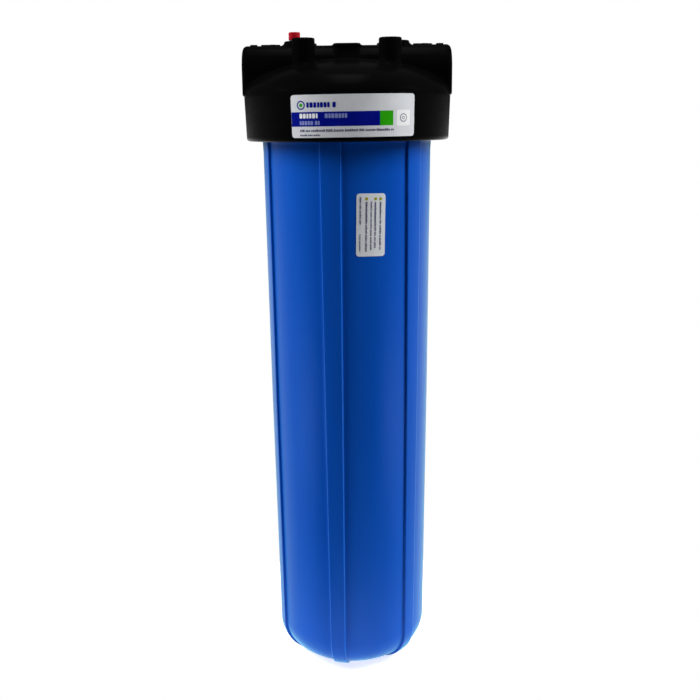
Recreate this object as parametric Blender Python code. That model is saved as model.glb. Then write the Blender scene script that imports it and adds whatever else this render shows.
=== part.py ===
"""Twenty-inch large-body cartridge filter housing.

A black cap with two pipe ports screws onto a blue ribbed sump that holds a pleated cartridge.
Frame: origin at the centre of the plane the feet stand on, +Z up, the ports along X and the
cap label facing -Y. Heights and radii are given in millimetres and scaled once, when a mesh is made.
"""

import math

import bmesh
import bpy
from mathutils import Matrix, Vector

MM = 0.001
GAP = 0.3  # between pieces that touch
ROUND = 48  # facets round a large piece
SMALL_ROUND = 16  # facets round a small piece

# Sump: outside of the wall, as radius at a height
FOOT_HEIGHT = 2.0
CORNER_RADIUS = 34.0
INNER_CORNER_RADIUS = 22.0
WALL = 6.5
FLOOR_THICKNESS = 7.0
WALL_LINE = ((75.2, 498.0), (74.8, 491.0), (73.2, 266.0), (70.5, FOOT_HEIGHT + CORNER_RADIUS))
NECK_RADIUS = 79.0
NECK_BOTTOM = 506.0
RIM = 539.0
SEAT_TOP = 14.0
SEAT_RADIUS = 26.0
LOCATOR_RADIUS = 13.0
LOCATOR_TOP = 24.0

# Ribs on the outside of the sump
RIB_COUNT = 6
RIB_TURN = -11.5  # degrees of the first rib from the front
RIB_HEIGHT = 2.4
RIB_WIDTH_TOP = 17.9
RIB_WIDTH_FOOT = 13.0
RIB_TOP = 504.0
FOOT_INNER_RADIUS = 30.0

# O-ring between the sump and the cap
SEAL_RADIUS = 73.5
SEAL_THICKNESS = 4.8
GROOVE_WIDTH = 5.4
GROOVE_DEPTH = 4.6

# Thread: the sump's ridge outside its neck, the cap's ridge inside its skirt
PITCH = 8.0
THREAD_HEIGHT = 3.5
THREAD_CLEARANCE = 0.6
THREAD_START = 508.0
THREAD_TURNS = 3.0
THREAD_STEPS = 36  # per turn
RIDGE_ROOT_WIDTH = 4.2
RIDGE_CREST_WIDTH = 2.4

# Cap
CAP_BOTTOM = 500.0
SKIRT_TOP = 539.0
SKIRT_RADIUS_BOTTOM = 90.95
SKIRT_RADIUS_TOP = 92.2
DOME_RISE = 30.8
SEALING_FACE = 539.8
CHAMBER_RADIUS = 66.0
CHAMBER_TOP = 553.0

# Ports and inner ducts
PORT_END = 92.3
PORT_AXIS = 561.0
PORT_RADIUS = 21.5
PORT_EDGE = 2.5
SOCKET_RADIUS = 16.0  # one-inch pipe thread
SOCKET_DEPTH = 22.0
INLET_BORE = 12.5
OUTLET_BORE = 11.0
DUCT_RADIUS = 16.5
STANDPIPE_RADIUS = 18.0
SPIGOT_RADIUS = 13.2
SPIGOT_LENGTH = 8.0

# Bosses on top of the cap
BRACKET_BOSS = (37.4, 30.0)
BRACKET_BOSS_RADIUS = 9.9
BRACKET_BOSS_TOP = 586.5
SCREW_HOLE_RADIUS = 2.75
SCREW_HOLE_DEPTH = 22.5
SIDE_BOSS_X = 46.4
SIDE_BOSS_RADIUS = 9.0
SIDE_BOSS_TOP = 586.2
PAD_TOP = 583.2
PAD_HALF_WIDTH = 12.0
PAD_HALF_LENGTH = 17.0

# Pressure-relief valve in the left side boss
RELIEF_HOLE_RADIUS = 2.6
RELIEF_RECESS_RADIUS = 5.6
RELIEF_RECESS_FLOOR = 578.0
RELIEF_SEAT = 575.0
RELIEF_SEAT_RADIUS = 5.0
BUTTON_RADIUS = 5.1
BUTTON_TOP = 593.8
BUTTON_HEAD_BOTTOM = 587.0
STEM_RADIUS = 2.1
STEM_BORE_RADIUS = 1.3
SPRING_RADIUS = 3.9
SPRING_WIRE = 0.8
SPRING_COILS = 4

# Cartridge
CARTRIDGE_BOTTOM = SEAT_TOP + GAP
CARTRIDGE_LENGTH = 508.0
CARTRIDGE_RADIUS = 57.0
CARTRIDGE_BORE = 14.0
END_CAP_THICKNESS = 8.0
GASKET_THICKNESS = 3.0
GASKET_RADIUS = 27.0
CORE_RADIUS = 17.0
CORE_WALL = 2.5
WINDOW_ROWS = 5
WINDOW_WIDTH = 9.0
PLEATS = 48
PLEAT_INNER = 18.5
PLEAT_OUTER = 54.3
SHEET_ALONG_RADIUS = 4.8  # the thin sheet cut along a radius
SLEEVE_RADIUS = 56.0
SLEEVE_WALL = 1.2

# Labels, as angles from the front and heights
LABEL_THICKNESS = 0.2
CAP_LABEL = (-30.2, 37.0, 503.9, 538.2)
SUMP_LABEL = (5.0, 24.7, 403.5, 457.0)

# Heights that follow from the ones above
CARTRIDGE_TOP = CARTRIDGE_BOTTOM + CARTRIDGE_LENGTH
STANDPIPE_END = CARTRIDGE_TOP + GAP
MEDIA_BOTTOM = CARTRIDGE_BOTTOM + GASKET_THICKNESS + END_CAP_THICKNESS + 2 * GAP
MEDIA_TOP = CARTRIDGE_TOP - GASKET_THICKNESS - END_CAP_THICKNESS - 2 * GAP
THREAD_ROOT = NECK_RADIUS + THREAD_HEIGHT + THREAD_CLEARANCE


def clear_scene():
    for obj in list(bpy.data.objects):
        bpy.data.objects.remove(obj)


def plastic(name, colour, roughness, metallic=0.0):
    material = bpy.data.materials.new(name)
    material.use_nodes = True
    shader = material.node_tree.nodes["Principled BSDF"]
    shader.inputs["Base Color"].default_value = (*colour, 1.0)
    shader.inputs["Roughness"].default_value = roughness
    shader.inputs["Metallic"].default_value = metallic
    return material


def make_materials():
    return {
        "black": plastic("black_polypropylene", (0.012, 0.012, 0.013), 0.42),
        "blue": plastic("blue_polypropylene", (0.01, 0.09, 0.42), 0.33),
        "red": plastic("red_acetal", (0.5, 0.01, 0.02), 0.35),
        "rubber": plastic("black_rubber", (0.01, 0.01, 0.01), 0.7),
        "steel": plastic("stainless_steel", (0.6, 0.6, 0.6), 0.3, 1.0),
        "media": plastic("polyester_media", (0.85, 0.85, 0.82), 0.9),
        "core": plastic("white_polypropylene", (0.8, 0.8, 0.8), 0.5),
        "end_cap": plastic("blue_plastisol", (0.05, 0.2, 0.5), 0.6),
        "label": plastic("label_film", (0.75, 0.76, 0.78), 0.4),
    }


def add_object(name, bm, material):
    """One object from a closed bmesh in millimetres, its faces turned outward."""
    bmesh.ops.recalc_face_normals(bm, faces=bm.faces)
    bmesh.ops.scale(bm, vec=(MM, MM, MM), verts=bm.verts)
    mesh = bpy.data.meshes.new(name)
    bm.to_mesh(mesh)
    bm.free()
    mesh.shade_smooth()
    mesh.set_sharp_from_angle(angle=math.radians(30))
    mesh.materials.append(material)
    obj = bpy.data.objects.new(name, mesh)
    bpy.context.collection.objects.link(obj)
    return obj


def join_rings(bm, rings, closed):
    """Faces between rings of vertices; a ring of one vertex is a pole."""
    following = rings[1:] + rings[:1] if closed else rings[1:]
    for ring, after in zip(rings, following):
        count = max(len(ring), len(after))
        if count == 1:
            continue
        for i in range(count):
            j = (i + 1) % count
            corners = [ring[i % len(ring)], ring[j % len(ring)], after[j % len(after)], after[i % len(after)]]
            bm.faces.new(list(dict.fromkeys(corners)))


def turned(name, outline, material, facets=ROUND, centre=(0.0, 0.0)):
    """A closed outline of (radius, height) points turned about a vertical axis."""
    bm = bmesh.new()
    rings = []
    for radius, height in outline:
        angles = [math.tau * i / facets for i in range(facets if radius else 1)]
        spots = [(centre[0] + radius * math.cos(a), centre[1] + radius * math.sin(a), height) for a in angles]
        rings.append([bm.verts.new(spot) for spot in spots])
    join_rings(bm, rings, closed=True)
    return add_object(name, bm, material)


def tube(name, inner, outer, low, high, material, facets=ROUND):
    return turned(name, [(outer, high), (outer, low), (inner, low), (inner, high)], material, facets)


def cylinder(name, start, end, radius, facets=SMALL_ROUND):
    """A solid rod between two points."""
    start, end = Vector(start), Vector(end)
    bm = bmesh.new()
    length = (end - start).length
    place = Matrix.Translation((start + end) / 2) @ (end - start).to_track_quat("Z", "Y").to_matrix().to_4x4()
    sizes = {"radius1": radius, "radius2": radius, "depth": length}
    bmesh.ops.create_cone(bm, cap_ends=True, segments=facets, matrix=place, **sizes)
    return add_object(name, bm, None)


def swept(name, sections, material, closed=False):
    """A body through sections with equal numbers of points, capped unless it closes on itself."""
    bm = bmesh.new()
    rings = [[bm.verts.new(point) for point in section] for section in sections]
    join_rings(bm, rings, closed)
    if not closed:
        bm.faces.new(rings[0])
        bm.faces.new(rings[-1])
    return add_object(name, bm, material)


def ring(name, radius, thickness, height, material, facets=ROUND, around=8):
    """A round-section ring; height is that of its centre line."""
    turns = [math.tau * i / around for i in range(around)]
    outline = [(radius + thickness / 2 * math.cos(t), height + thickness / 2 * math.sin(t)) for t in turns]
    return turned(name, outline, material, facets)


def combine(target, operation, tools):
    """Boolean each tool into the target, and keep the tools as hidden guides."""
    for tool in tools:
        modifier = target.modifiers.new(tool.name, "BOOLEAN")
        modifier.operation = operation
        modifier.solver = "EXACT"
        modifier.object = tool
        tool.hide_render = True
        tool.display_type = "WIRE"


def arc(centre_r, centre_z, radius, start, end, steps):
    """Points on an arc in the (radius, height) plane; angles in degrees."""
    points = []
    for i in range(steps + 1):
        angle = math.radians(start + (end - start) * i / steps)
        points.append((centre_r + radius * math.cos(angle), centre_z + radius * math.sin(angle)))
    return points


def wall_radius(height):
    """Outside radius of the sump's wall."""
    for (r_high, z_high), (r_low, z_low) in zip(WALL_LINE, WALL_LINE[1:]):
        if height >= z_low:
            break
    return r_low + (r_high - r_low) * (height - z_low) / (z_high - z_low)


def thread_ridge(name, wall, crest, start, turns):
    """A right-handed ridge that runs out at both ends and is rooted inside the wall."""
    outward = 1.0 if crest > wall else -1.0
    sections = []
    count = round(turns * THREAD_STEPS)
    for i in range(count + 1):
        fade = min(i, count - i, THREAD_STEPS // 6) / (THREAD_STEPS // 6)
        tip = wall - 0.5 * outward + (crest - wall + 0.5 * outward) * fade
        base = wall - 1.0 * outward
        angle = math.tau * i / THREAD_STEPS
        middle = start + PITCH * i / THREAD_STEPS
        corners = [
            (base, -RIDGE_ROOT_WIDTH / 2),
            (tip, -RIDGE_CREST_WIDTH / 2),
            (tip, RIDGE_CREST_WIDTH / 2),
            (base, RIDGE_ROOT_WIDTH / 2),
        ]
        sections.append([(r * math.cos(angle), r * math.sin(angle), middle + dz) for r, dz in corners])
    return swept(name, sections, None)


def sump_outline():
    corner_centre = WALL_LINE[-1][0] - CORNER_RADIUS
    corner_height = FOOT_HEIGHT + CORNER_RADIUS
    outside = [(NECK_RADIUS, RIM), (NECK_RADIUS, NECK_BOTTOM)]
    outside += WALL_LINE[:-1]
    outside += arc(corner_centre, corner_height, CORNER_RADIUS, 0, -90, 6)
    outside.append((0.0, FOOT_HEIGHT))
    floor = FOOT_HEIGHT + FLOOR_THICKNESS
    inner_centre = WALL_LINE[-1][0] - WALL - INNER_CORNER_RADIUS
    inner_corner = arc(inner_centre, floor + INNER_CORNER_RADIUS, INNER_CORNER_RADIUS, -90, 0, 5)
    inside = [(0.0, LOCATOR_TOP), (LOCATOR_RADIUS - 1.5, LOCATOR_TOP), (LOCATOR_RADIUS, LOCATOR_TOP - 2.0)]
    inside += [(LOCATOR_RADIUS, SEAT_TOP), (SEAT_RADIUS, SEAT_TOP), (SEAT_RADIUS, floor)]
    inside += inner_corner
    inside += [(radius - WALL, height) for radius, height in reversed(WALL_LINE[:-1])]
    bore = WALL_LINE[0][0] - WALL
    groove_in = SEAL_RADIUS - GROOVE_WIDTH / 2
    groove_out = SEAL_RADIUS + GROOVE_WIDTH / 2
    groove_floor = RIM - GROOVE_DEPTH
    rim = [(bore, RIM), (groove_in, RIM), (groove_in, groove_floor)]
    rim += [(groove_out, groove_floor), (groove_out, RIM)]
    return outside + inside + rim


def rib_path():
    """From neck to foot: a rib's outer and rooted points in its radial plane, and its half width."""
    corner_centre = WALL_LINE[-1][0] - CORNER_RADIUS
    corner_height = FOOT_HEIGHT + CORNER_RADIUS
    stations = []
    top_radius = WALL_LINE[0][0]
    for height in (RIB_TOP, WALL_LINE[1][1], WALL_LINE[2][1], corner_height + 10.0):
        radius = min(wall_radius(height), top_radius)
        stations.append(((radius + RIB_HEIGHT, height), (radius - 1.5, height)))
    for i in range(7):
        angle = math.radians(-15 * i)
        proud = RIB_HEIGHT + (FOOT_HEIGHT - RIB_HEIGHT) * i / 6
        pair = []
        for reach in (CORNER_RADIUS + proud, CORNER_RADIUS - 1.5):
            pair.append((corner_centre + reach * math.cos(angle), corner_height + reach * math.sin(angle)))
        stations.append(tuple(pair))
    stations.append(((FOOT_INNER_RADIUS, 0.0), (FOOT_INNER_RADIUS, FOOT_HEIGHT + 1.5)))
    path = []
    for outer, rooted in stations:
        share = max(0.0, min(1.0, outer[1] / RIB_TOP))
        half = (RIB_WIDTH_FOOT + (RIB_WIDTH_TOP - RIB_WIDTH_FOOT) * share) / 2
        path.append((outer, rooted, half))
    return path


def sump_rib(index):
    turn = math.radians(RIB_TURN + 360.0 * index / RIB_COUNT)
    radial = Vector((math.sin(turn), -math.cos(turn), 0.0))
    across = Vector((math.cos(turn), math.sin(turn), 0.0))
    up = Vector((0.0, 0.0, 1.0))
    sections = []
    for outer, rooted, half in rib_path():
        corners = ((outer, -half), (outer, half), (rooted, half), (rooted, -half))
        sections.append([radial * r + up * z + across * side for (r, z), side in corners])
    return swept(f"rib_guide_{index + 1}", sections, None)


def make_sump(materials):
    sump = turned("sump", sump_outline(), materials["blue"])
    crest = NECK_RADIUS + THREAD_HEIGHT
    ridge = thread_ridge("sump_thread_guide", NECK_RADIUS, crest, THREAD_START, THREAD_TURNS)
    combine(sump, "UNION", [sump_rib(i) for i in range(RIB_COUNT)] + [ridge])
    seal_height = RIM - GROOVE_DEPTH + GAP + SEAL_THICKNESS / 2
    ring("sump_o_ring", SEAL_RADIUS, SEAL_THICKNESS, seal_height, materials["rubber"])


def cap_shell_outline():
    dome = []
    for i in range(8):
        angle = math.radians(90 - 90 * i / 7)
        dome.append((SKIRT_RADIUS_TOP * math.cos(angle), SKIRT_TOP + DOME_RISE * math.sin(angle)))
    dome[0] = (0.0, SKIRT_TOP + DOME_RISE)
    skirt = [(91.2, CAP_BOTTOM + 16.0), (SKIRT_RADIUS_BOTTOM, CAP_BOTTOM + 3.0)]
    edge = arc(SKIRT_RADIUS_BOTTOM - 3.0, CAP_BOTTOM + 3.0, 3.0, -30, -90, 2)
    return dome + skirt + edge + [(0.0, CAP_BOTTOM)]


def cap_chamber():
    mouth = THREAD_ROOT + 2.4
    outline = [(0.0, CAP_BOTTOM - 2.0), (mouth, CAP_BOTTOM - 2.0), (mouth, CAP_BOTTOM)]
    outline += [(THREAD_ROOT, CAP_BOTTOM + 3.0), (THREAD_ROOT, SEALING_FACE), (CHAMBER_RADIUS, SEALING_FACE)]
    outline += [(CHAMBER_RADIUS, CHAMBER_TOP - 7.0), (CHAMBER_RADIUS - 6.0, CHAMBER_TOP), (0.0, CHAMBER_TOP)]
    return turned("chamber_guide", outline, None)


def port_block():
    """The arched block along X that carries both ports, with softened ends."""
    sections = []
    shoulder = PORT_END - PORT_EDGE
    for x, inset in ((-PORT_END, PORT_EDGE), (-shoulder, 0.0), (shoulder, 0.0), (PORT_END, PORT_EDGE)):
        radius = PORT_RADIUS - inset
        crown = arc(0.0, PORT_AXIS, radius, 0, 180, 16)
        outline = [(radius, SKIRT_TOP - 4.0), *crown, (-radius, SKIRT_TOP - 4.0)]
        sections.append([(x, y, z) for y, z in outline])
    return swept("port_guide", sections, None)


def centre_pad():
    """The raised pad across the top of the block, wider at its lip."""
    half_outline = [(8.0, PORT_AXIS + 5.0), (8.6, PAD_TOP - 6.4), (9.4, PAD_TOP - 3.4)]
    half_outline += [(PAD_HALF_WIDTH, PAD_TOP - 1.6), (PAD_HALF_WIDTH, PAD_TOP)]
    outline = half_outline + [(-x, z) for x, z in reversed(half_outline)]
    sections = [[(x, y, z) for x, z in outline] for y in (-PAD_HALF_LENGTH, PAD_HALF_LENGTH)]
    return swept("pad_guide", sections, None)


def boss(name, x, y, radius, top):
    foot = SKIRT_TOP + 10.0
    outline = [(0.0, top), (radius - 0.8, top), (radius, top - 0.8), (radius, foot), (0.0, foot)]
    return turned(name, outline, None, 24, (x, y))


def bracket_boss_places():
    across, along = BRACKET_BOSS
    return [(x, y) for x in (-across, across) for y in (-along, along)]


def cap_bosses():
    bosses = []
    for number, (x, y) in enumerate(bracket_boss_places(), 1):
        bosses.append(boss(f"boss_guide_{number}", x, y, BRACKET_BOSS_RADIUS, BRACKET_BOSS_TOP))
    for side, x in (("left", -SIDE_BOSS_X), ("right", SIDE_BOSS_X)):
        bosses.append(boss(f"side_boss_guide_{side}", x, 0.0, SIDE_BOSS_RADIUS, SIDE_BOSS_TOP))
    return bosses


def inner_ducts():
    """The outlet duct inside the chamber and the standpipe that seals on the cartridge."""
    duct = cylinder("duct_guide", (0, 0, PORT_AXIS), (80, 0, PORT_AXIS), DUCT_RADIUS, 24)
    top, nose = PORT_AXIS + 2.0, STANDPIPE_END - SPIGOT_LENGTH
    outline = [(0.0, top), (STANDPIPE_RADIUS, top), (STANDPIPE_RADIUS, STANDPIPE_END + 1.5)]
    outline += [(STANDPIPE_RADIUS - 1.5, STANDPIPE_END), (SPIGOT_RADIUS, STANDPIPE_END)]
    outline += [(SPIGOT_RADIUS, nose), (0.0, nose)]
    standpipe = turned("standpipe_guide", outline, None, 24)
    return [duct, standpipe]


def cap_bores():
    socket_floor = PORT_END - SOCKET_DEPTH
    bores = []
    for side, name in ((-1, "inlet"), (1, "outlet")):
        start, end = (side * socket_floor, 0, PORT_AXIS), (side * (PORT_END + 1.0), 0, PORT_AXIS)
        bores.append(cylinder(f"{name}_socket_guide", start, end, SOCKET_RADIUS, 24))
    nose = (0, 0, STANDPIPE_END - SPIGOT_LENGTH - 1.0)
    inlet_end = (OUTLET_BORE - 1.0 - SIDE_BOSS_X, 0, PORT_AXIS)
    bores.append(cylinder("inlet_bore_guide", (-socket_floor - 1, 0, PORT_AXIS), inlet_end, INLET_BORE))
    drop = (-SIDE_BOSS_X, 0, CHAMBER_TOP - 3.0)
    bores.append(cylinder("inlet_drop_guide", (-SIDE_BOSS_X, 0, PORT_AXIS), drop, OUTLET_BORE))
    outlet_start, outlet_end = (-8, 0, PORT_AXIS), (socket_floor + 1, 0, PORT_AXIS)
    bores.append(cylinder("outlet_bore_guide", outlet_start, outlet_end, OUTLET_BORE))
    bores.append(cylinder("standpipe_bore_guide", nose, (0, 0, PORT_AXIS + 1.0), OUTLET_BORE - 0.4))
    for number, (x, y) in enumerate(bracket_boss_places(), 1):
        foot, mouth = (x, y, BRACKET_BOSS_TOP - SCREW_HOLE_DEPTH), (x, y, BRACKET_BOSS_TOP + 1.0)
        bores.append(cylinder(f"screw_hole_guide_{number}", foot, mouth, SCREW_HOLE_RADIUS, 12))
    return bores + relief_bores()


def relief_bores():
    """Recess for the spring, passage for the stem and spot face for the valve seal."""
    spans = (
        ("recess_guide", RELIEF_RECESS_FLOOR, SIDE_BOSS_TOP + 1.0, RELIEF_RECESS_RADIUS),
        ("passage_guide", RELIEF_SEAT - 4.0, RELIEF_RECESS_FLOOR + 1.0, RELIEF_HOLE_RADIUS),
        ("seat_guide", RELIEF_SEAT - 5.0, RELIEF_SEAT, RELIEF_SEAT_RADIUS),
    )
    x = -SIDE_BOSS_X
    return [cylinder(name, (x, 0, low), (x, 0, high), radius) for name, low, high, radius in spans]


def make_cap(materials):
    cap = turned("cap", cap_shell_outline(), materials["black"])
    crest = THREAD_ROOT - THREAD_HEIGHT
    ridge = thread_ridge("cap_thread_guide", THREAD_ROOT, crest, THREAD_START - PITCH / 2, THREAD_TURNS + 0.5)
    combine(cap, "UNION", [port_block(), centre_pad(), *cap_bosses()])
    combine(cap, "DIFFERENCE", [cap_chamber()])
    combine(cap, "UNION", [*inner_ducts(), ridge])
    combine(cap, "DIFFERENCE", cap_bores())


def make_relief_valve(materials):
    centre = (-SIDE_BOSS_X, 0.0)
    stem_end = RELIEF_SEAT - 2.6
    bore_top = stem_end + 8.0
    head = [(0.0, BUTTON_TOP), (BUTTON_RADIUS - 0.8, BUTTON_TOP), (BUTTON_RADIUS, BUTTON_TOP - 0.8)]
    head += [(BUTTON_RADIUS, BUTTON_HEAD_BOTTOM), (STEM_RADIUS, BUTTON_HEAD_BOTTOM), (STEM_RADIUS, stem_end)]
    head += [(STEM_BORE_RADIUS, stem_end), (STEM_BORE_RADIUS, bore_top), (0.0, bore_top)]
    turned("relief_button", head, materials["red"], SMALL_ROUND, centre)

    seal_thickness = 1.8
    seal_middle = RELIEF_SEAT - GAP - seal_thickness / 2
    seal_radius = STEM_RADIUS + GAP + seal_thickness / 2
    seal = ring("relief_o_ring", seal_radius, seal_thickness, seal_middle, materials["rubber"], SMALL_ROUND)
    seal.location.x = centre[0] * MM

    washer_top = stem_end - GAP
    washer = [(4.2, washer_top), (4.2, washer_top - 0.8), (1.4, washer_top - 0.8), (1.4, washer_top)]
    turned("relief_washer", washer, materials["steel"], SMALL_ROUND, centre)

    head_top = washer_top - 0.8 - GAP
    screw = [(0.0, bore_top - 1.5), (1.0, bore_top - 1.5), (1.0, head_top), (2.9, head_top)]
    screw += [(2.9, head_top - 1.2), (2.2, head_top - 1.8), (0.0, head_top - 1.8)]
    turned("relief_screw", screw, materials["steel"], SMALL_ROUND, centre)
    make_relief_spring(materials)


def make_relief_spring(materials):
    """A coil between the recess floor and the button head, with its wire's ends just clear of both."""
    low = RELIEF_RECESS_FLOOR + GAP + SPRING_WIRE / 2
    high = BUTTON_HEAD_BOTTOM - GAP - SPRING_WIRE / 2
    steps = SPRING_COILS * 16
    sections = []
    for i in range(steps + 1):
        angle = math.tau * i / 16
        height = low + (high - low) * i / steps
        section = []
        for k in range(6):
            turn = math.tau * k / 6
            radius = SPRING_RADIUS + SPRING_WIRE / 2 * math.cos(turn)
            x = -SIDE_BOSS_X + radius * math.cos(angle)
            section.append((x, radius * math.sin(angle), height + SPRING_WIRE / 2 * math.sin(turn)))
        sections.append(section)
    swept("relief_spring", sections, materials["steel"])


def make_core(materials):
    """The moulded inner tube, with rows of windows."""
    bore = CORE_RADIUS - CORE_WALL
    core = tube("cartridge_core", bore, CORE_RADIUS, MEDIA_BOTTOM, MEDIA_TOP, materials["core"], 24)
    spacing = (MEDIA_TOP - MEDIA_BOTTOM) / WINDOW_ROWS
    windows = []
    for row in range(WINDOW_ROWS):
        middle = MEDIA_BOTTOM + spacing * (row + 0.5)
        for axis in (Vector((1, 0, 0)), Vector((0, 1, 0))):
            bm = bmesh.new()
            bmesh.ops.create_cube(bm, size=1.0)
            across = Vector((axis.y, axis.x, 0)) * WINDOW_WIDTH
            size = axis * (2 * CORE_RADIUS + 4) + across + Vector((0, 0, spacing * 0.7))
            bmesh.ops.scale(bm, vec=size, verts=bm.verts)
            bmesh.ops.translate(bm, vec=(0, 0, middle), verts=bm.verts)
            windows.append(add_object(f"window_guide_{row + 1}_{'xy'[int(axis.y)]}", bm, None))
    combine(core, "DIFFERENCE", windows)


def make_media(materials):
    """The pleated sheet: one ribbon that runs in and out round the core."""
    points = 2 * PLEATS
    sections = []
    for i in range(points):
        angle = math.tau * i / points
        inner = PLEAT_OUTER - SHEET_ALONG_RADIUS if i % 2 else PLEAT_INNER
        outer = inner + SHEET_ALONG_RADIUS
        corners = ((inner, MEDIA_BOTTOM), (outer, MEDIA_BOTTOM), (outer, MEDIA_TOP), (inner, MEDIA_TOP))
        sections.append([(r * math.cos(angle), r * math.sin(angle), z) for r, z in corners])
    swept("cartridge_media", sections, materials["media"], closed=True)


def make_cartridge(materials):
    low_cap = CARTRIDGE_BOTTOM + GASKET_THICKNESS + GAP
    high_cap = CARTRIDGE_TOP - GASKET_THICKNESS - GAP - END_CAP_THICKNESS
    bore, rim = CARTRIDGE_BORE, CARTRIDGE_RADIUS
    seal, rubber = (bore + 0.5, GASKET_RADIUS), materials["rubber"]
    for name, low in (("bottom", low_cap), ("top", high_cap)):
        tube(f"cartridge_{name}_cap", bore, rim, low, low + END_CAP_THICKNESS, materials["end_cap"], 48)
    for name, low in (("bottom", CARTRIDGE_BOTTOM), ("top", CARTRIDGE_TOP - GASKET_THICKNESS)):
        tube(f"cartridge_{name}_gasket", *seal, low, low + GASKET_THICKNESS, rubber, 32)
    sleeve_inner = SLEEVE_RADIUS - SLEEVE_WALL
    tube("cartridge_sleeve", sleeve_inner, SLEEVE_RADIUS, MEDIA_BOTTOM, MEDIA_TOP, materials["core"], 48)
    make_core(materials)
    make_media(materials)


def skirt_radius(height):
    share = (height - CAP_BOTTOM) / (SKIRT_TOP - CAP_BOTTOM)
    return SKIRT_RADIUS_BOTTOM + (SKIRT_RADIUS_TOP - SKIRT_RADIUS_BOTTOM) * share


def curved_label(name, place, radius_at, material):
    """A thin film bent round the part, a gap clear of its surface."""
    start, end, low, high = place
    steps = 14
    under, over = GAP, GAP + LABEL_THICKNESS
    sections = []
    for i in range(steps + 1):
        turn = math.radians(start + (end - start) * i / steps)
        corners = []
        for height, lift in ((low, under), (low, over), (high, over), (high, under)):
            radius = radius_at(height) + lift
            corners.append((radius * math.sin(turn), -radius * math.cos(turn), height))
        sections.append(corners)
    swept(name, sections, material)


def main():
    clear_scene()
    materials = make_materials()
    make_sump(materials)
    make_cap(materials)
    make_relief_valve(materials)
    make_cartridge(materials)
    curved_label("cap_label", CAP_LABEL, skirt_radius, materials["label"])
    curved_label("sump_label", SUMP_LABEL, wall_radius, materials["label"])


main()
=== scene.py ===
"""Looks of the twenty-inch cartridge filter housing: the cap, sump, labels and valve as finished
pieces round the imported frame, with camera, light and floor. Lengths are in millimetres until a
piece is made, and the axes are the frame's: ports along X, label towards -Y, feet on Z = 0."""

import math

import bmesh
import bpy
import numpy as np
from mathutils import Euler, Matrix, Vector


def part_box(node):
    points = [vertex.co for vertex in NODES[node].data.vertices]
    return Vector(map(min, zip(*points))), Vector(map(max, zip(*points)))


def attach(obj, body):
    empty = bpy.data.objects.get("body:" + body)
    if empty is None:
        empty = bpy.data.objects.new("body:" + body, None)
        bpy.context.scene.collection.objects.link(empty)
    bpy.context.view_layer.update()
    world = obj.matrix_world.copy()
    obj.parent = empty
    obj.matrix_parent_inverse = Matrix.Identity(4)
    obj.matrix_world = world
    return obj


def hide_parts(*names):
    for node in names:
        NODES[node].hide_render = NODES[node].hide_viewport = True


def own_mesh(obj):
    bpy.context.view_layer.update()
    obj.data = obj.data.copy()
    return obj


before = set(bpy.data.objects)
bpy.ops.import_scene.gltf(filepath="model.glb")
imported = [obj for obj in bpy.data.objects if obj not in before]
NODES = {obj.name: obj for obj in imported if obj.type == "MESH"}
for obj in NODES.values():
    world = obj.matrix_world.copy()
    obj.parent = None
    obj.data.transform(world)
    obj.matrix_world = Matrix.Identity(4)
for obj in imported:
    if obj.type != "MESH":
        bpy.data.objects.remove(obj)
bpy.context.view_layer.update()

MM = 0.001
GAP = 0.3  # between pieces that touch


def box_mm(node):
    low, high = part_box(node)
    return [v / MM for v in low], [v / MM for v in high]


# Sizes read from the frame
CAP_LOW, CAP_HIGH = box_mm("cap")
SUMP_HIGH = box_mm("sump")[1]
BUTTON_LOW, BUTTON_HIGH = box_mm("relief_button")
LABEL_LOW, LABEL_HIGH = box_mm("cap_label")
SEAL_LOW, SEAL_HIGH = box_mm("sump_o_ring")
GASKET_HIGH = box_mm("cartridge_top_gasket")[1]

# Cap
CAP_BOTTOM = CAP_LOW[2]
BRACKET_BOSS_TOP = CAP_HIGH[2]
STANDPIPE_END = GASKET_HIGH[2] + GAP
STANDPIPE_RADIUS = 18.0
STANDPIPE_BORE = 10.6
SPIGOT_RADIUS = 13.2
SPIGOT_END = STANDPIPE_END - 8.0
SKIRT_TOP = CAP_BOTTOM + 39.0
SKIRT_RADIUS_BOTTOM = 90.95
SKIRT_RADIUS_TOP = CAP_HIGH[1]
DOME_RISE = 30.8
SEALING_FACE = SKIRT_TOP + 0.8
CHAMBER_RADIUS = 66.0
CHAMBER_TOP = SKIRT_TOP + 14.0
PORT_END = CAP_HIGH[0]
PORT_AXIS = SKIRT_TOP + 22.0
PORT_RADIUS = 21.5
SOCKET_RADIUS = 16.6
SOCKET_FLOOR = PORT_END - 22.0
INLET_BORE = 12.5
INLET_DROP_BORE = 11.0
OUTLET_BORE = 11.0
DUCT_RADIUS = 16.5
BRACKET_BOSS = (37.4, 30.0)
BRACKET_BOSS_RADIUS = 9.9
SCREW_HOLE_RADIUS = 2.75
SCREW_HOLE_DEPTH = 22.5
SIDE_BOSS_X = -(BUTTON_LOW[0] + BUTTON_HIGH[0]) / 2
SIDE_BOSS_RADIUS = 9.0
SIDE_BOSS_TOP = BRACKET_BOSS_TOP - 0.3
PAD_TOP = PORT_AXIS + 22.2
PAD_HALF_WIDTH = 12.0
PAD_HALF_LENGTH = 17.0
RELIEF_RECESS_FLOOR = BRACKET_BOSS_TOP - 8.5
RELIEF_RECESS_RADIUS = 5.6
RELIEF_HOLE_RADIUS = 2.6
RELIEF_SEAT = RELIEF_RECESS_FLOOR - 3.0
RELIEF_SEAT_RADIUS = 5.0
BUTTON_HEAD_HEIGHT = 6.8
STEM_RADIUS = 2.1
STEM_BORE_RADIUS = 1.3
STEM_BORE_DEPTH = 8.0

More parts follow.
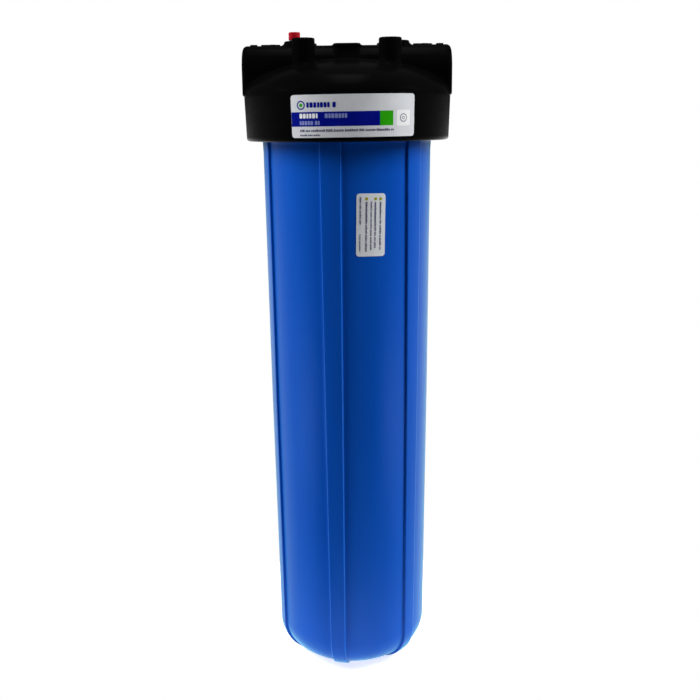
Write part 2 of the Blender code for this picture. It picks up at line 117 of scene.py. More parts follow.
# Sump
NECK_RADIUS = 79.0
RIM = SUMP_HIGH[2]
FOOT_HEIGHT = 2.0
CORNER_RADIUS = 34.0
INNER_CORNER_RADIUS = 22.0
WALL = 6.5
FLOOR = FOOT_HEIGHT + 7.0
WALL_TOP = CAP_BOTTOM - 2.0
WALL_LINE = (
    (75.2, WALL_TOP),
    (74.8, WALL_TOP - 7.0),
    (73.2, 266.0),
    (70.5, FOOT_HEIGHT + CORNER_RADIUS),
)
SEAT_TOP = 14.0
SEAT_RADIUS = 26.0
LOCATOR_RADIUS = 13.0
LOCATOR_TOP = 24.0
GROOVE_RADII = (70.8, 76.2)
GROOVE_DEPTH = 4.6
RIB_COUNT = 6
RIB_TURN = -11.5
RIB_HEIGHT = 2.4
RIB_HALF_TOP = 8.95
RIB_HALF_FOOT = 6.5
PITCH = 8.0
THREAD_HEIGHT = 3.5
THREAD_START = CAP_BOTTOM + 8.0
THREAD_ROOT = NECK_RADIUS + THREAD_HEIGHT + 0.6

# Labels, as the angles of their edges from the front
CAP_LABEL_TURNS = (-30.2, 37.0)
SUMP_LABEL_TURNS = (5.0, 24.7)

# Camera, in metres and degrees. The distance was chosen for the height it gives, and not measured
CAMERA_DISTANCE = 0.900
CAMERA_HEIGHT = 0.5156
CAMERA_DOWN = 13.22
CAMERA_ROLL = 0.613
CAMERA_LENS = 49.8


# ---------------------------------------------------------------- mesh helpers

def piece_from(name, points, faces, material, body, replaced=(), slot=None, smooth=40.0):
    """One piece from points in millimetres, riding on a body."""
    mesh = bpy.data.meshes.new(name)
    mesh.from_pydata([tuple(p) for p in np.asarray(points, float) * MM], [], [list(f) for f in faces])
    mesh.update()
    return piece_of(name, mesh, material, body, replaced, smooth)


def piece_of(name, mesh, material, body, replaced=(), smooth=40.0):
    bm = bmesh.new()
    bm.from_mesh(mesh)
    bmesh.ops.recalc_face_normals(bm, faces=bm.faces)
    bm.to_mesh(mesh)
    bm.free()
    mesh.shade_smooth()
    mesh.set_sharp_from_angle(angle=math.radians(smooth))
    for each in material if isinstance(material, (list, tuple)) else [material]:
        mesh.materials.append(each)
    obj = bpy.data.objects.new(name, mesh)
    bpy.context.scene.collection.objects.link(obj)
    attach(obj, body)
    if replaced:
        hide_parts(*replaced)
    return obj


def ring_faces(counts, closed=False):
    """Faces between rings of vertices given by their counts; a ring of one vertex is a pole."""
    starts = np.concatenate([[0], np.cumsum(counts)])[:-1]
    order = list(range(len(counts)))
    pairs = list(zip(order, order[1:] + order[:1])) if closed else list(zip(order, order[1:]))
    faces = []
    for a, b in pairs:
        count = max(counts[a], counts[b])
        if count == 1:
            continue
        for i in range(count):
            j = (i + 1) % count
            corners = [
                starts[a] + i % counts[a],
                starts[a] + j % counts[a],
                starts[b] + j % counts[b],
                starts[b] + i % counts[b],
            ]
            faces.append(list(dict.fromkeys(int(c) for c in corners)))
    return faces


def turned_points(outline, facets, centre=(0.0, 0.0)):
    points, counts = [], []
    for radius, height in outline:
        if radius == 0:
            points.append((centre[0], centre[1], height))
            counts.append(1)
            continue
        for i in range(facets):
            angle = math.tau * i / facets
            x, y = centre[0] + radius * math.cos(angle), centre[1] + radius * math.sin(angle)
            points.append((x, y, height))
        counts.append(facets)
    return points, counts


def turned(name, outline, facets, material, body, centre=(0.0, 0.0), **more):
    """A closed (radius, height) outline turned about a vertical axis."""
    points, counts = turned_points(outline, facets, centre)
    return piece_from(name, points, ring_faces(counts, closed=True), material, body, **more)


def swept_points(sections, closed=False):
    points = [p for section in sections for p in section]
    counts = [len(section) for section in sections]
    faces = ring_faces(counts, closed)
    if not closed:
        faces.append(list(range(counts[0]))[::-1])
        faces.append(list(range(len(points) - counts[-1], len(points))))
    return points, faces


def arc(centre_r, centre_z, radius, start, end, steps):
    points = []
    for i in range(steps + 1):
        angle = math.radians(start + (end - start) * i / steps)
        points.append((centre_r + radius * math.cos(angle), centre_z + radius * math.sin(angle)))
    return points


# ---------------------------------------------------------------- distance fields for the moulded cap

def join(a, b, fillet):
    """Union of two distance fields with a fillet in the corner between them."""
    h = np.maximum(fillet - np.abs(a - b), 0.0) / fillet
    return np.minimum(a, b) - h * h * fillet * 0.25


def cut(a, b, fillet=0.6):
    """Field a with b taken away, its rim eased."""
    return -join(-a, b, fillet)


def meet(a, b, radius):
    """Intersection of two fields with a rounded edge."""
    corner = np.hypot(np.maximum(a + radius, 0.0), np.maximum(b + radius, 0.0))
    return np.minimum(np.maximum(a, b), -radius) + corner


def upright(x, y, z, centre, radius, low, high, edge=0.8):
    side = np.hypot(x - centre[0], y - centre[1]) - radius
    return meet(meet(side, z - high, edge), low - z, edge)


def lying(x, y, z, radius, low, high, edge=0.5):
    """A round bar along X on the port axis."""
    side = np.hypot(y, z - PORT_AXIS) - radius
    return meet(side, np.maximum(low - x, x - high), edge)


def skirt_radius(z):
    share = np.clip((z - CAP_BOTTOM) / (SKIRT_TOP - CAP_BOTTOM), 0.0, 1.0)
    return SKIRT_RADIUS_BOTTOM + (SKIRT_RADIUS_TOP - SKIRT_RADIUS_BOTTOM) * share


def dome_field(r, z):
    up = z - SKIRT_TOP
    k0 = np.hypot(r / SKIRT_RADIUS_TOP, up / DOME_RISE)
    k1 = np.hypot(r / SKIRT_RADIUS_TOP**2, up / DOME_RISE**2)
    dome = k0 * (k0 - 1.0) / np.maximum(k1, 1e-6)
    return np.where(up > 0, dome, r - skirt_radius(z))


def block_field(x, y, z):
    crown = np.where(z > PORT_AXIS, np.hypot(y, z - PORT_AXIS), np.abs(y)) - PORT_RADIUS
    block = meet(crown, np.abs(x) - PORT_END, 4.0)
    return meet(block, SKIRT_TOP - z, 1.0)


def pad_field(x, y, z):
    depth = np.abs(y) - PAD_HALF_LENGTH
    narrow = np.abs(x) - 8.0 - 1.6 * np.clip((z - PAD_TOP + 13.4) / 10.0, 0.0, 1.0)
    stem = meet(meet(narrow, depth, 1.0), z - PAD_TOP + 0.6, 0.8)
    lip = meet(meet(np.abs(x) - PAD_HALF_WIDTH, depth, 1.5), np.abs(z - PAD_TOP + 1.1) - 1.1, 0.6)
    return join(meet(stem, PORT_AXIS - 3.0 - z, 0.5), lip, 1.5)


def boss_field(x, y, z):
    field = None
    low = SKIRT_TOP + 7.0
    for sx in (-1, 1):
        for sy in (-1, 1):
            centre = (sx * BRACKET_BOSS[0], sy * BRACKET_BOSS[1])
            boss = upright(x, y, z, centre, BRACKET_BOSS_RADIUS, low, BRACKET_BOSS_TOP, 1.0)
            field = boss if field is None else np.minimum(field, boss)
        side = upright(x, y, z, (sx * SIDE_BOSS_X, 0.0), SIDE_BOSS_RADIUS, low + 8.0, SIDE_BOSS_TOP, 1.0)
        field = np.minimum(field, side)
    return field


def chamber_field(x, y, z, r):
    """The space for the sump's neck, with the thread ridge left standing, and the chamber above."""
    turn = np.arctan2(y, x) / math.tau
    phase = (z - THREAD_START + PITCH / 2) / PITCH - turn
    off = np.abs(phase - np.round(phase)) * PITCH
    fade = np.clip((z - CAP_BOTTOM - 3.0) / 3.0, 0.0, 1.0) * np.clip((SEALING_FACE - 5.0 - z) / 3.0, 0.0, 1.0)
    ridge = THREAD_HEIGHT * fade * np.clip((2.3 - off) / 1.1, 0.0, 1.0)
    mouth = np.clip(CAP_BOTTOM + 3.0 - z, 0.0, 5.0) * 0.8
    neck = meet(r - THREAD_ROOT - mouth + ridge, z - SEALING_FACE, 0.5)
    chamber = meet(r - CHAMBER_RADIUS, z - CHAMBER_TOP, 6.0)
    return np.minimum(neck, chamber)


def cap_field(x, y, z):
    r = np.hypot(x, y)
    field = meet(dome_field(r, z), CAP_BOTTOM - z, 2.6)
    field = join(field, block_field(x, y, z), 1.2)
    field = join(field, pad_field(x, y, z), 2.4)
    field = join(field, boss_field(x, y, z), 4.0)
    field = cut(field, chamber_field(x, y, z, r))
    duct = meet(lying(x, y, z, DUCT_RADIUS, 0.0, 80.0), z - PORT_AXIS, 0.5)
    pipe = upright(x, y, z, (0, 0), STANDPIPE_RADIUS, STANDPIPE_END, PORT_AXIS)
    spigot = upright(x, y, z, (0, 0), SPIGOT_RADIUS, SPIGOT_END, PORT_AXIS)
    field = join(field, np.minimum(np.minimum(duct, pipe), spigot), 1.5)
    for low, high, radius in (
        (SOCKET_FLOOR, 120.0, SOCKET_RADIUS),
        (-120.0, -SOCKET_FLOOR, SOCKET_RADIUS),
        (-75.0, 10.0 - SIDE_BOSS_X, INLET_BORE),
        (-9.0, 75.0, OUTLET_BORE),
    ):
        field = cut(field, lying(x, y, z, radius, low, high), 1.2)
    relief = (-SIDE_BOSS_X, 0.0)
    field = cut(field, upright(x, y, z, (0, 0), STANDPIPE_BORE, SPIGOT_END - 5.0, PORT_AXIS))
    field = cut(field, upright(x, y, z, relief, INLET_DROP_BORE, CHAMBER_TOP - 3.0, PORT_AXIS))
    for sx in (-1, 1):
        for sy in (-1, 1):
            centre = (sx * BRACKET_BOSS[0], sy * BRACKET_BOSS[1])
            bottom = BRACKET_BOSS_TOP - SCREW_HOLE_DEPTH
            hole = upright(x, y, z, centre, SCREW_HOLE_RADIUS, bottom, BRACKET_BOSS_TOP + 9.0)
            field = cut(field, hole, 1.0)
    recess = upright(x, y, z, relief, RELIEF_RECESS_RADIUS, RELIEF_RECESS_FLOOR, SIDE_BOSS_TOP + 9.0)
    hole = upright(x, y, z, relief, RELIEF_HOLE_RADIUS, RELIEF_SEAT - 4.0, RELIEF_RECESS_FLOOR + 2.0)
    seat = upright(x, y, z, relief, RELIEF_SEAT_RADIUS, RELIEF_SEAT - 5.0, RELIEF_SEAT)
    return cut(cut(cut(field, recess, 0.8), hole), seat)


def meshed(field, low, high, cell):
    """A surface net of the field's zero level, each vertex then drawn onto that level."""
    axes = [np.arange(low[i], high[i] + cell, cell) for i in range(3)]
    grid = np.meshgrid(*axes, indexing="ij")
    inside = field(*grid) < 0
    shape = [n - 1 for n in inside.shape]
    total = np.zeros(shape, np.int8)
    for dx in (0, 1):
        for dy in (0, 1):
            for dz in (0, 1):
                total += inside[dx : dx + shape[0], dy : dy + shape[1], dz : dz + shape[2]]
    active = (total > 0) & (total < 8)
    index = np.full(shape, -1)
    index[active] = np.arange(active.sum())
    cells = np.argwhere(active)
    points = np.stack([axes[i][cells[:, i]] + cell / 2 for i in range(3)], axis=1)
    return settled(points, field, cell), net_faces(inside, index)


def net_faces(inside, index):
    """A quad round each grid edge whose ends lie on different sides of the surface."""
    faces = []
    for axis in range(3):
        u, v = (axis + 1) % 3, (axis + 2) % 3
        near = np.moveaxis(inside, (axis, u, v), (0, 1, 2))
        cells = np.moveaxis(index, (axis, u, v), (0, 1, 2))
        here, there = near[:-1, 1:-1, 1:-1], near[1:, 1:-1, 1:-1]
        for crossing, flip in ((here & ~there, False), (~here & there, True)):
            i, j, k = np.nonzero(crossing)
            quad = [cells[i, j, k], cells[i, j + 1, k], cells[i, j + 1, k + 1], cells[i, j, k + 1]]
            faces.append(np.stack(quad[::-1] if flip else quad, axis=1))
    return np.concatenate(faces)


def settled(points, field, cell, rounds=5):
    step = 0.02
    for _ in range(rounds):
        x, y, z = points.T
        value = field(x, y, z)
        slope = np.stack(
            [
                (field(x + step, y, z) - field(x - step, y, z)),
                (field(x, y + step, z) - field(x, y - step, z)),
                (field(x, y, z + step) - field(x, y, z - step)),
            ],
            axis=1,
        ) / (2 * step)
        length = np.maximum((slope**2).sum(axis=1), 0.2)
        move = slope * (value / length)[:, None]
        reach = np.maximum(np.linalg.norm(move, axis=1), 1e-9)
        move *= np.minimum(1.0, 0.5 * cell / reach)[:, None]
        points = points - move
    return points


# ---------------------------------------------------------------- materials

def node(tree, kind, **values):
    """A shader node; keywords set its properties, or its inputs where it has no such property."""
    made = tree.nodes.new(kind)
    for key, value in values.items():
        if hasattr(made, key):
            setattr(made, key, value)
        else:
            made.inputs[key.replace("_", " ")].default_value = value
    return made


def noise(tree, scale, detail=3.0, roughness=0.55, stretch=(1, 1, 1)):
    """Noise over the piece's own coordinates, scale in features per metre."""
    place = node(tree, "ShaderNodeTexCoord")
    mapping = node(tree, "ShaderNodeMapping")
    mapping.inputs["Scale"].default_value = stretch
    tree.links.new(place.outputs["Object"], mapping.inputs["Vector"])
    texture = node(tree, "ShaderNodeTexNoise", Scale=scale, Detail=detail, Roughness=roughness)
    tree.links.new(mapping.outputs["Vector"], texture.inputs["Vector"])
    return texture.outputs["Fac"]


def ranged(tree, value, low, high, start=0.3, end=0.7):
    made = node(tree, "ShaderNodeMapRange")
    for key, number in (("From Min", start), ("From Max", end), ("To Min", low), ("To Max", high)):
        made.inputs[key].default_value = number
    tree.links.new(value, made.inputs["Value"])
    return made.outputs["Result"]


def blended(tree, factor, first, second):
    made = node(tree, "ShaderNodeMix", data_type="RGBA")
    tree.links.new(factor, made.inputs["Factor"])
    for socket, colour in (("A", first), ("B", second)):
        target = next(s for s in made.inputs if s.name == socket and s.type == "RGBA")
        if isinstance(colour, tuple):
            target.default_value = (*colour, 1.0)
        else:
            tree.links.new(colour, target)
    return next(s for s in made.outputs if s.type == "RGBA")


def bumped(tree, heights):
    """A chain of bumps from (height, strength, distance in metres)."""
    normal = None
    for height, strength, distance in heights:
        bump = node(tree, "ShaderNodeBump", Strength=strength, Distance=distance)
        tree.links.new(height, bump.inputs["Height"])
        if normal is not None:
            tree.links.new(normal, bump.inputs["Normal"])
        normal = bump.outputs["Normal"]
    return normal


def material(name, colour, roughness=0.5, **sockets):
    made = bpy.data.materials.new(name)
    made.use_nodes = True
    shader = made.node_tree.nodes["Principled BSDF"]
    shader.inputs["Base Color"].default_value = (*colour, 1.0)
    shader.inputs["Roughness"].default_value = roughness
    for key, value in sockets.items():
        shader.inputs[key.replace("_", " ")].default_value = value
    return made, made.node_tree, shader


def edge_mask(tree, low=0.52, high=0.62):
    """High on raised edges, where handling polishes and scuffs the moulding."""
    shape = node(tree, "ShaderNodeNewGeometry")
    return ranged(tree, shape.outputs["Pointiness"], 0.0, 1.0, low, high)


def black_plastic():
    """Glass-filled polypropylene: near black, faintly grained, scuffed grey on its edges."""
    made, tree, shader = material("cap_black", (0.002, 0.002, 0.0022), 0.2, Specular_IOR_Level=0.06)
    cloud = noise(tree, 22.0, 4.0)
    grain = noise(tree, 2600.0, 2.0)
    flow = noise(tree, 60.0, 5.0, 0.6, (1, 1, 3))
    shade = blended(tree, ranged(tree, cloud, 0.0, 1.0), (0.0014, 0.0014, 0.0015), (0.0025, 0.0025, 0.0027))
    worn = blended(tree, edge_mask(tree), shade, (0.008, 0.008, 0.0085))
    tree.links.new(worn, shader.inputs["Base Color"])
    tree.links.new(ranged(tree, flow, 0.17, 0.25), shader.inputs["Roughness"])
    normal = bumped(tree, [(grain, 0.22, 0.00012), (flow, 0.12, 0.0006)])
    tree.links.new(normal, shader.inputs["Normal"])
    return made


def blue_plastic():
    """Polypropylene of the sump: saturated blue, satin, with faint flow lines along its length."""
    sheen = {"Sheen_Weight": 0.8, "Sheen_Roughness": 0.35, "Sheen_Tint": (0.2, 0.85, 1.0, 1.0)}
    made, tree, shader = material("sump_blue", (0.002, 0.06, 0.42), 0.3, Specular_IOR_Level=0.2, **sheen)
    flow = noise(tree, 26.0, 4.0, 0.55, (1, 1, 0.12))
    grain = noise(tree, 2200.0, 2.0)
    shade = blended(tree, ranged(tree, flow, 0.0, 1.0), (0.0016, 0.06, 0.39), (0.0024, 0.071, 0.44))
    worn = blended(tree, edge_mask(tree, 0.53, 0.66), shade, (0.01, 0.11, 0.55))
    tree.links.new(worn, shader.inputs["Base Color"])
    tree.links.new(ranged(tree, flow, 0.28, 0.36), shader.inputs["Roughness"])
    normal = bumped(tree, [(grain, 0.16, 0.0001), (flow, 0.1, 0.0008)])
    tree.links.new(normal, shader.inputs["Normal"])
    return made


def grained(name, colour, tint, roughness, scale, strength=0.25, **sockets):
    """A plain material with a fine grain and a slight change of shade."""
    made, tree, shader = material(name, colour, roughness, **sockets)
    grain = noise(tree, scale, 3.0)
    cloud = noise(tree, 90.0, 3.0)
    tree.links.new(blended(tree, ranged(tree, cloud, 0.0, 1.0), colour, tint), shader.inputs["Base Color"])
    tree.links.new(ranged(tree, cloud, roughness * 0.85, roughness * 1.15), shader.inputs["Roughness"])
    tree.links.new(bumped(tree, [(grain, strength, 0.0001)]), shader.inputs["Normal"])
    return made


BLACK = black_plastic()
BLUE = blue_plastic()
RED = grained("button_red", (0.36, 0.006, 0.012), (0.43, 0.01, 0.018), 0.32, 1800.0, 0.15)
RUBBER = grained("rubber_black", (0.012, 0.012, 0.012), (0.02, 0.02, 0.02), 0.6, 1500.0, 0.35)
STEEL = grained("steel", (0.62, 0.61, 0.6), (0.7, 0.69, 0.67), 0.28, 3000.0, 0.12, Metallic=1.0)
MEDIA = grained("media_white", (0.8, 0.8, 0.76), (0.86, 0.86, 0.82), 0.9, 900.0, 0.6)
CORE = grained("core_white", (0.78, 0.78, 0.77), (0.84, 0.84, 0.83), 0.45, 1600.0, 0.2)
END_CAP = grained("end_cap_blue", (0.05, 0.18, 0.42), (0.07, 0.22, 0.48), 0.55, 1200.0, 0.3)
FILM = grained("film_silver", (0.62, 0.64, 0.67), (0.68, 0.7, 0.73), 0.32, 700.0, 0.1)
NAVY = grained("print_navy", (0.001, 0.004, 0.21), (0.002, 0.008, 0.26), 0.35, 700.0, 0.1)
GREEN = grained("print_green", (0.02, 0.33, 0.004), (0.03, 0.38, 0.006), 0.35, 700.0, 0.1)
WHITE = grained("print_white", (0.82, 0.83, 0.84), (0.88, 0.88, 0.89), 0.35, 700.0, 0.1)
INK = grained("print_grey", (0.1, 0.11, 0.18), (0.14, 0.15, 0.22), 0.4, 700.0, 0.1)
PALE = grained("print_pale", (0.2, 0.24, 0.55), (0.26, 0.3, 0.6), 0.4, 700.0, 0.1)
OLIVE = grained("print_olive", (0.3, 0.32, 0.02), (0.36, 0.38, 0.03), 0.4, 700.0, 0.1)


# ---------------------------------------------------------------- sump

def wall_radius(z):
    for (r_high, z_high), (r_low, z_low) in zip(WALL_LINE, WALL_LINE[1:]):
        if z >= z_low:
            break
    return r_low + (r_high - r_low) * (z - z_low) / (z_high - z_low)


def sump_stations():
    """(radius, height, outward direction in that plane, rib share) down the outside of the sump."""
    stations = [(NECK_RADIUS - 0.6, RIM, (0, 1), 0.0), (NECK_RADIUS, RIM - 0.6, (1, 0), 0.0)]
    for below in (5.0, 17.0, 29.0):
        stations.append((NECK_RADIUS, RIM - below, (1, 0), 0.0))
    for i in range(9):
        share = i / 8
        eased = share * share * (3 - 2 * share)
        height = WALL_TOP + 9.0 - 9.0 * share
        stations.append((NECK_RADIUS - 3.8 * eased, height, (1, 0), 1.0))
    bottom = FOOT_HEIGHT + CORNER_RADIUS
    panel = np.linspace(WALL_TOP - 20.0, bottom + 4.0, 44)
    for height in (WALL_TOP - 2.0, WALL_TOP - 4.5, WALL_TOP - 7.0, *panel):
        stations.append((wall_radius(height), float(height), (1, 0), 1.0))
    middle = WALL_LINE[-1][0] - CORNER_RADIUS
    for i in range(25):
        angle = math.radians(-90 * i / 24)
        spot = (middle + CORNER_RADIUS * math.cos(angle), bottom + CORNER_RADIUS * math.sin(angle))
        stations.append((*spot, (math.cos(angle), math.sin(angle)), 1.0))
    for radius in (34.5, 32.5, 31.0, 30.4, 30.0, 29.6, 29.2, 28.5, 27.0, 22.0, 16.0, 10.0, 4.0):
        share = float(np.clip((radius - 28.6) / 2.2, 0.0, 1.0))
        stations.append((radius, FOOT_HEIGHT, (0, -1), share * share * (3 - 2 * share)))
    return stations


def rib_columns():
    """Columns of one sixth of the circle: across the rib by distance from its edge, then the panel."""
    edge = [(-1.6, 1.0), (-0.9, 0.99), (-0.45, 0.93), (-0.15, 0.75)]
    edge += [(0.0, 0.5), (0.15, 0.25), (0.45, 0.07), (0.9, 0.0)]
    columns = [("rib", share, 1.0) for share in (-0.6, -0.3, 0.0, 0.3, 0.6)]
    columns += [("edge", off, high) for off, high in edge]
    columns += [("panel", share, 0.0) for share in np.linspace(0.03, 0.97, 18)]
    columns += [("far_edge", off, high) for off, high in edge[::-1]]
    return columns


def column_angle(kind, value, half, radius, sector):
    """Angle from the rib's centre line at a radius."""
    reach = min(half, 0.36 * sector * radius)
    edge = reach / radius
    if kind == "rib":
        return value * edge
    if kind == "edge":
        return edge + value / radius * min(1.0, radius / 28.0)
    rim = 1.4 / radius * min(1.0, radius / 28.0)
    if kind == "far_edge":
        return sector - edge - value / radius * min(1.0, radius / 28.0)
    return edge + rim + (sector - 2 * edge - 2 * rim) * value


def sump_ring(radius, height, outward, share):
    sector = math.tau / RIB_COUNT
    half = RIB_HALF_FOOT + (RIB_HALF_TOP - RIB_HALF_FOOT) * min(1.0, max(0.0, height / WALL_TOP))
    proud = RIB_HEIGHT + (FOOT_HEIGHT - RIB_HEIGHT) * max(0.0, -outward[1])
    points = []
    for rib in range(RIB_COUNT):
        start = math.radians(RIB_TURN) + rib * sector
        for kind, value, high in rib_columns():
            turn = start + column_angle(kind, value, half, radius, sector)
            lift = proud * high * share
            out = radius + lift * outward[0]
            if height > WALL_TOP - 1.0:
                out = max(radius, min(out, WALL_LINE[0][0] + RIB_HEIGHT * high))
            points.append((out * math.sin(turn), -out * math.cos(turn), height + lift * outward[1]))
    return points


def sump_inside():
    """The rim's groove, the inner wall, the floor and the seat, as (radius, height)."""
    groove_in, groove_out = GROOVE_RADII
    groove_floor = RIM - GROOVE_DEPTH
    outline = [(groove_out + 0.3, RIM), (groove_out, RIM - 0.3), (groove_out, groove_floor)]
    outline += [(groove_in, groove_floor), (groove_in, RIM - 0.3), (groove_in - 0.3, RIM)]
    outline += [(69.3, RIM), (68.7, RIM - 0.6)]
    outline += [(wall_radius(z) - WALL, z) for z in (WALL_TOP, WALL_TOP - 7.0, 380.0, 266.0, 150.0, 60.0)]
    middle = WALL_LINE[-1][0] - WALL - INNER_CORNER_RADIUS
    outline += arc(middle, FLOOR + INNER_CORNER_RADIUS, INNER_CORNER_RADIUS, 0, -90, 8)
    outline += [(SEAT_RADIUS + 0.5, FLOOR), (SEAT_RADIUS, FLOOR + 0.5), (SEAT_RADIUS, SEAT_TOP - 0.5)]
    outline += [(SEAT_RADIUS - 0.5, SEAT_TOP), (LOCATOR_RADIUS, SEAT_TOP)]
    outline += [(LOCATOR_RADIUS, LOCATOR_TOP - 2.0), (LOCATOR_RADIUS - 1.5, LOCATOR_TOP)]
    return outline


def ridge_sections(wall, crest, start, turns, steps=96):
    """The round of a right-handed thread ridge that runs out at both ends."""
    outward = 1.0 if crest > wall else -1.0
    flank = ((2.3, -1.0), (2.0, 0.0), (1.35, 0.82), (1.05, 1.0))
    shape = [(-dz, high) for dz, high in flank] + list(flank[::-1])
    count = round(turns * steps)
    sections = []
    for i in range(count + 1):
        fade = min(1.0, min(i, count - i) / (steps / 6))
        angle = math.tau * i / steps
        middle = start + PITCH * i / steps
        section = []
        for dz, high in shape:
            if high > 0:
                reach = wall - 0.4 * outward + (crest - wall + 0.4 * outward) * fade * high
            else:
                reach = wall - 1.2 * outward
            section.append((reach * math.cos(angle), reach * math.sin(angle), middle + dz))
        sections.append(section)
    return sections


def make_sump():
    points, counts = [], []
    for radius, height, outward, share in sump_stations():
        ring = sump_ring(radius, height, outward, share)
        points += ring
        counts.append(len(ring))
    points.append((0.0, 0.0, FOOT_HEIGHT))
    counts.append(1)
    outside_points, outside_faces = points, ring_faces(counts)
    across = counts[0]
    inner = [(0.0, 0.0, LOCATOR_TOP)]
    inner_counts = [1]
    for radius, height in reversed(sump_inside()):
        ring = sump_ring(radius, height, (0, 1), 0.0)
        inner += [(x, y, height) for x, y, _ in ring]
        inner_counts.append(across)
    inner_faces = ring_faces(inner_counts)
    offset = len(outside_points)
    faces = outside_faces + [[i + offset for i in face] for face in inner_faces]
    last = offset + len(inner) - across
    for i in range(across):
        j = (i + 1) % across
        faces.append([last + i, last + j, j, i])
    points = outside_points + inner
    offset = len(points)
    ridge = ridge_sections(NECK_RADIUS, NECK_RADIUS + THREAD_HEIGHT, THREAD_START, 3.0)
    thread, thread_faces = swept_points(ridge)
    points += thread
    faces += [[i + offset for i in face] for face in thread_faces]
    piece_from("sump_shell", points, faces, BLUE, "sump", ["sump"], "blue_polypropylene", 42.0)


# ---------------------------------------------------------------- cap

def make_cap():
    cell = 1.2
    low = (-95.0, -95.0, CAP_BOTTOM - 3.0)
    high = (95.0, 95.0, BRACKET_BOSS_TOP + 3.0)
    points, faces = meshed(cap_field, low, high, cell)
    piece_from("cap_shell", points, faces, BLACK, "cap", ["cap"], "black_polypropylene", 180.0)


def port_thread(name, side):
    """The pipe thread cut in a socket: a thin threaded sleeve of the same plastic."""
    pitch, depth, steps, turns = 2.2, 1.1, 72, 7.5
    crest = ((-1.05, 0.0), (-0.12, depth), (0.12, depth), (1.05, 0.0), (1.05, -0.5), (-1.05, -0.5))
    low, high = PORT_END - 1.6 - pitch * turns, PORT_END - 1.6
    sections = []
    count = round(turns * steps)
    for i in range(count + 1):
        angle = math.tau * i / steps
        middle = low + (high - low) * i / count
        taper = 0.03 * (middle - low)
        section = []
        for dx, drop in crest:
            reach = SOCKET_RADIUS - 0.1 - drop + (taper if drop > 0 else 0.0)
            y, z = reach * math.cos(angle), PORT_AXIS + reach * math.sin(angle)
            section.append((side * (middle + dx), y, z))
        sections.append(section)
    points, faces = swept_points(sections)
    piece_from(name, points, faces, BLACK, "cap", (), "black_polypropylene", 25.0)


def raised_mark(name, outline, top, depth=2.0):
    """A flat raised shape moulded on the crown of the port block, its edge eased."""
    sections = []
    for inset, z in ((0.0, top - depth), (0.0, top - 0.35), (0.35, top)):
        centre = np.mean(outline, axis=0)
        ring = []
        for x, y in outline:
            away = np.array((x, y)) - centre
            length = max(float(np.linalg.norm(away)), 1e-6)
            x, y = centre + away * (1 - inset / length)
            ring.append((x, y, z))
        sections.append(ring)
    points, faces = swept_points(sections)
    return piece_from(name, points, faces, BLACK, "cap", (), "black_polypropylene", 30.0)


def make_marks():
    """A flow arrow and a short bar by each port."""
    crown = PORT_AXIS + PORT_RADIUS
    for side, name in ((-1, "inlet"), (1, "outlet")):
        tail, neck, tip = (-76.0, -67.5, -59.0) if side < 0 else (59.0, 67.5, 76.0)
        arrow = [(tail, -1.6), (neck, -1.6), (neck, -4.2), (tip, 0.0), (neck, 4.2), (neck, 1.6), (tail, 1.6)]
        raised_mark(f"{name}_flow_arrow", arrow, crown + 1.0)
        bar = [(side * 79.5, -3.6), (side * 85.5, -3.6), (side * 85.5, 3.6), (side * 79.5, 3.6)]
        raised_mark(f"{name}_flow_bar", bar, crown + 0.9)


# ---------------------------------------------------------------- relief valve

def make_relief_valve():
    centre = (-SIDE_BOSS_X, 0.0)
    top, foot = BUTTON_HIGH[2], BUTTON_LOW[2]
    radius = (BUTTON_HIGH[0] - BUTTON_LOW[0]) / 2
    under = top - BUTTON_HEAD_HEIGHT
    head = [(0.0, top - 0.25), (radius * 0.45, top - 0.2), (radius * 0.5, top - 0.05), (radius - 0.9, top)]
    head += arc(radius - 0.7, top - 0.7, 0.7, 80, 0, 5)
    head += [(radius, under + 0.3), (radius - 0.3, under), (STEM_RADIUS + 0.4, under)]
    head += [(STEM_RADIUS, under - 0.4), (STEM_RADIUS, foot), (STEM_BORE_RADIUS, foot)]
    head += [(STEM_BORE_RADIUS, foot + STEM_BORE_DEPTH), (0.0, foot + STEM_BORE_DEPTH)]
    turned(
        "relief_push_button", head, 64, RED, "relief_valve", centre,
        replaced=["relief_button"], slot="red_acetal",
    )
    make_spring(centre)


def make_spring(centre):
    """The coil under the button, its last turns drawn closer at both ends."""
    low, high = box_mm("relief_spring")
    low, high = low[2] + 0.4, high[2] - 0.4
    wire, radius, coils, steps = 0.4, 3.9, 4.5, 32
    count = round(coils * steps)
    sections = []
    for i in range(count + 1):
        share = i / count
        eased = share + 0.06 * math.sin(math.tau * (share + 0.5))
        angle = math.tau * i / steps
        section = []
        for k in range(10):
            turn = math.tau * k / 10
            reach = radius + wire * math.cos(turn)
            z = low + (high - low) * eased + wire * math.sin(turn)
            section.append((centre[0] + reach * math.cos(angle), reach * math.sin(angle), z))
        sections.append(section)
    points, faces = swept_points(sections)
    spring = piece_from(
        "relief_coil", points, faces, STEEL, "cap", ["relief_spring"], "stainless_steel", 60.0
    )
    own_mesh(spring)


def make_seals():
    middle = (SEAL_LOW[2] + SEAL_HIGH[2]) / 2
    thick = (SEAL_HIGH[2] - SEAL_LOW[2]) / 2
    ring = arc(SEAL_HIGH[0] - thick, middle, thick, 0, 345, 23)
    turned("sump_seal", ring, 192, RUBBER, "sump", replaced=["sump_o_ring"], slot="black_rubber", smooth=60.0)


# ---------------------------------------------------------------- labels

